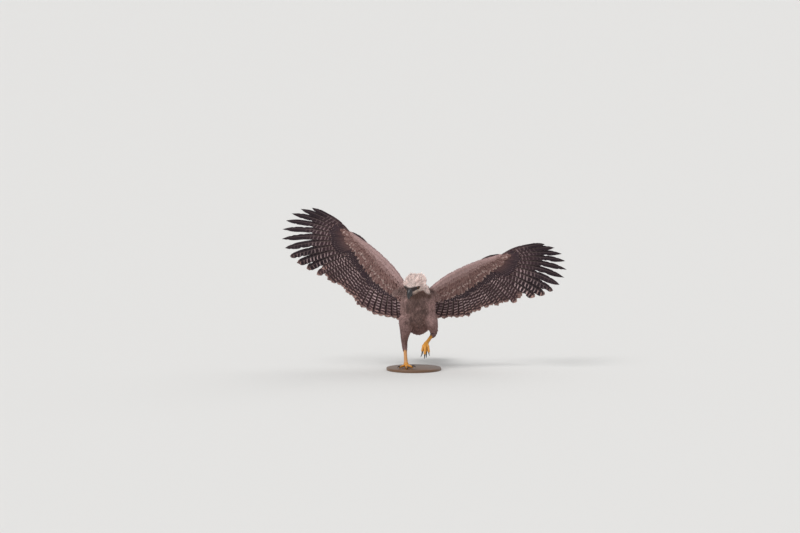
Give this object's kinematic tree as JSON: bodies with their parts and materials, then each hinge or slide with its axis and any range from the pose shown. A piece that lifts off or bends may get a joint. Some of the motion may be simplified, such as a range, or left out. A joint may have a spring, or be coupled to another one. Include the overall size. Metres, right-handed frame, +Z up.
{
  "type": "harpy eagle",
  "caption": "Life-size young harpy eagle balancing on one foot with both wings raised and spread, the other foot lifted, head bowed, on a plain round base.",
  "frame": {"origin": "centre of the flat underside of the round base, on the floor", "axes": "+Z up, the bird's breast faces -Y, its left wing reaches to +X and its right wing to -X"},
  "size_m": [1.7704, 0.726, 1.0302],
  "materials": {
    "white_down": "soft matt creamy white head down with a pink cast",
    "body_feathers": "soft matt grey-buff feathers with pale edges",
    "flight_feathers": "satin dark grey-brown feathers with pale bars and buff tips",
    "dark_horn": "smooth dark grey to black horn",
    "yellow_skin": "scaly golden yellow skin",
    "eye": "clear gloss over a dark brown iris and black pupil",
    "base_wood": "satin dark brown wood"
  },
  "bodies": {
    "root": {"head": "white_down", "bill_upper": "dark_horn", "bill_lower": "dark_horn", "neck": "body_feathers", "torso": "body_feathers", "eye_left": "eye", "eye_right": "eye", "tail": "flight_feathers", "wing_left_arm": "flight_feathers", "wing_left_hand": "flight_feathers", "alula_left": "flight_feathers", "wing_right_arm": "flight_feathers", "wing_right_hand": "flight_feathers", "alula_right": "flight_feathers", "thigh_right": "body_feathers", "shank_right": "yellow_skin", "foot_right": "yellow_skin", "talon_right_middle": "dark_horn", "talon_right_inner": "dark_horn", "talon_right_outer": "dark_horn", "talon_right_hind": "dark_horn", "thigh_left": "body_feathers", "shank_left": "yellow_skin", "foot_left": "yellow_skin", "talon_left_middle": "dark_horn", "talon_left_inner": "dark_horn", "talon_left_outer": "dark_horn", "talon_left_hind": "dark_horn", "stand_base": "base_wood"}
  },
  "joints": []
}
